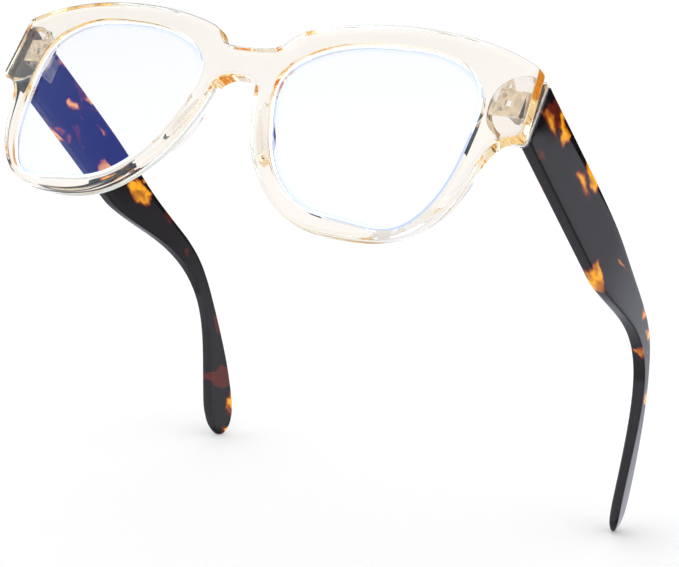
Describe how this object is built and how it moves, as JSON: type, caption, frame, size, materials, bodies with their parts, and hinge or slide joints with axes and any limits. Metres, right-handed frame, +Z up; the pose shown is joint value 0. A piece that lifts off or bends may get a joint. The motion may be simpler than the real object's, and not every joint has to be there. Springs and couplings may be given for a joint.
{
  "type": "blue light glasses",
  "caption": "Full-rim eyeglasses: clear acetate front, clear lenses with a blue reflection, and two tortoise temples that fold on barrel hinges.",
  "frame": {"origin": "on the surface the glasses stand on, under the middle of their bounding box", "axes": "+X to the wearer's left, +Y from the front of the glasses towards the ears, +Z up; the glasses stand open on their rims and temple tips"},
  "size_m": [0.151, 0.137, 0.051],
  "materials": {
    "crystal_acetate": "polished clear acetate with a pale champagne tint",
    "tortoise_acetate": "polished dark tortoise acetate with amber patches",
    "lens": "clear plano lens with a blue-violet reflective coating",
    "hinge_metal": "pale gold plated hinge metal",
    "screw_steel": "turned steel",
    "core_wire": "drawn nickel silver wire"
  },
  "bodies": {
    "front": {"front_frame": "crystal_acetate", "lens_left": "lens", "lens_right": "lens", "nose_pad_left": "crystal_acetate", "nose_pad_right": "crystal_acetate", "end_block_left": "crystal_acetate", "end_block_right": "crystal_acetate", "front_hinge_left": "hinge_metal", "front_hinge_right": "hinge_metal", "hinge_anchor_left": "hinge_metal", "hinge_anchor_right": "hinge_metal", "leaf_pins_left": "screw_steel", "leaf_pins_right": "screw_steel", "hinge_screw_left": "screw_steel", "hinge_screw_right": "screw_steel"},
    "left_temple": {"temple_left": "tortoise_acetate", "temple_hinge_left": "hinge_metal", "core_wire_left": "core_wire"},
    "right_temple": {"temple_right": "tortoise_acetate", "temple_hinge_right": "hinge_metal", "core_wire_right": "core_wire"}
  },
  "joints": [
    {"name": "left_temple_fold", "type": "hinge", "parent": "front", "child": "left_temple", "pos_m": [0.0702, -0.05717, 0.03798], "axis": [0, -0.1675, 0.9859], "range_deg": [0, 87]},
    {"name": "right_temple_fold", "type": "hinge", "parent": "front", "child": "right_temple", "pos_m": [-0.0702, -0.05717, 0.03798], "axis": [0, 0.1675, -0.9859], "range_deg": [0, 82.5]}
  ]
}
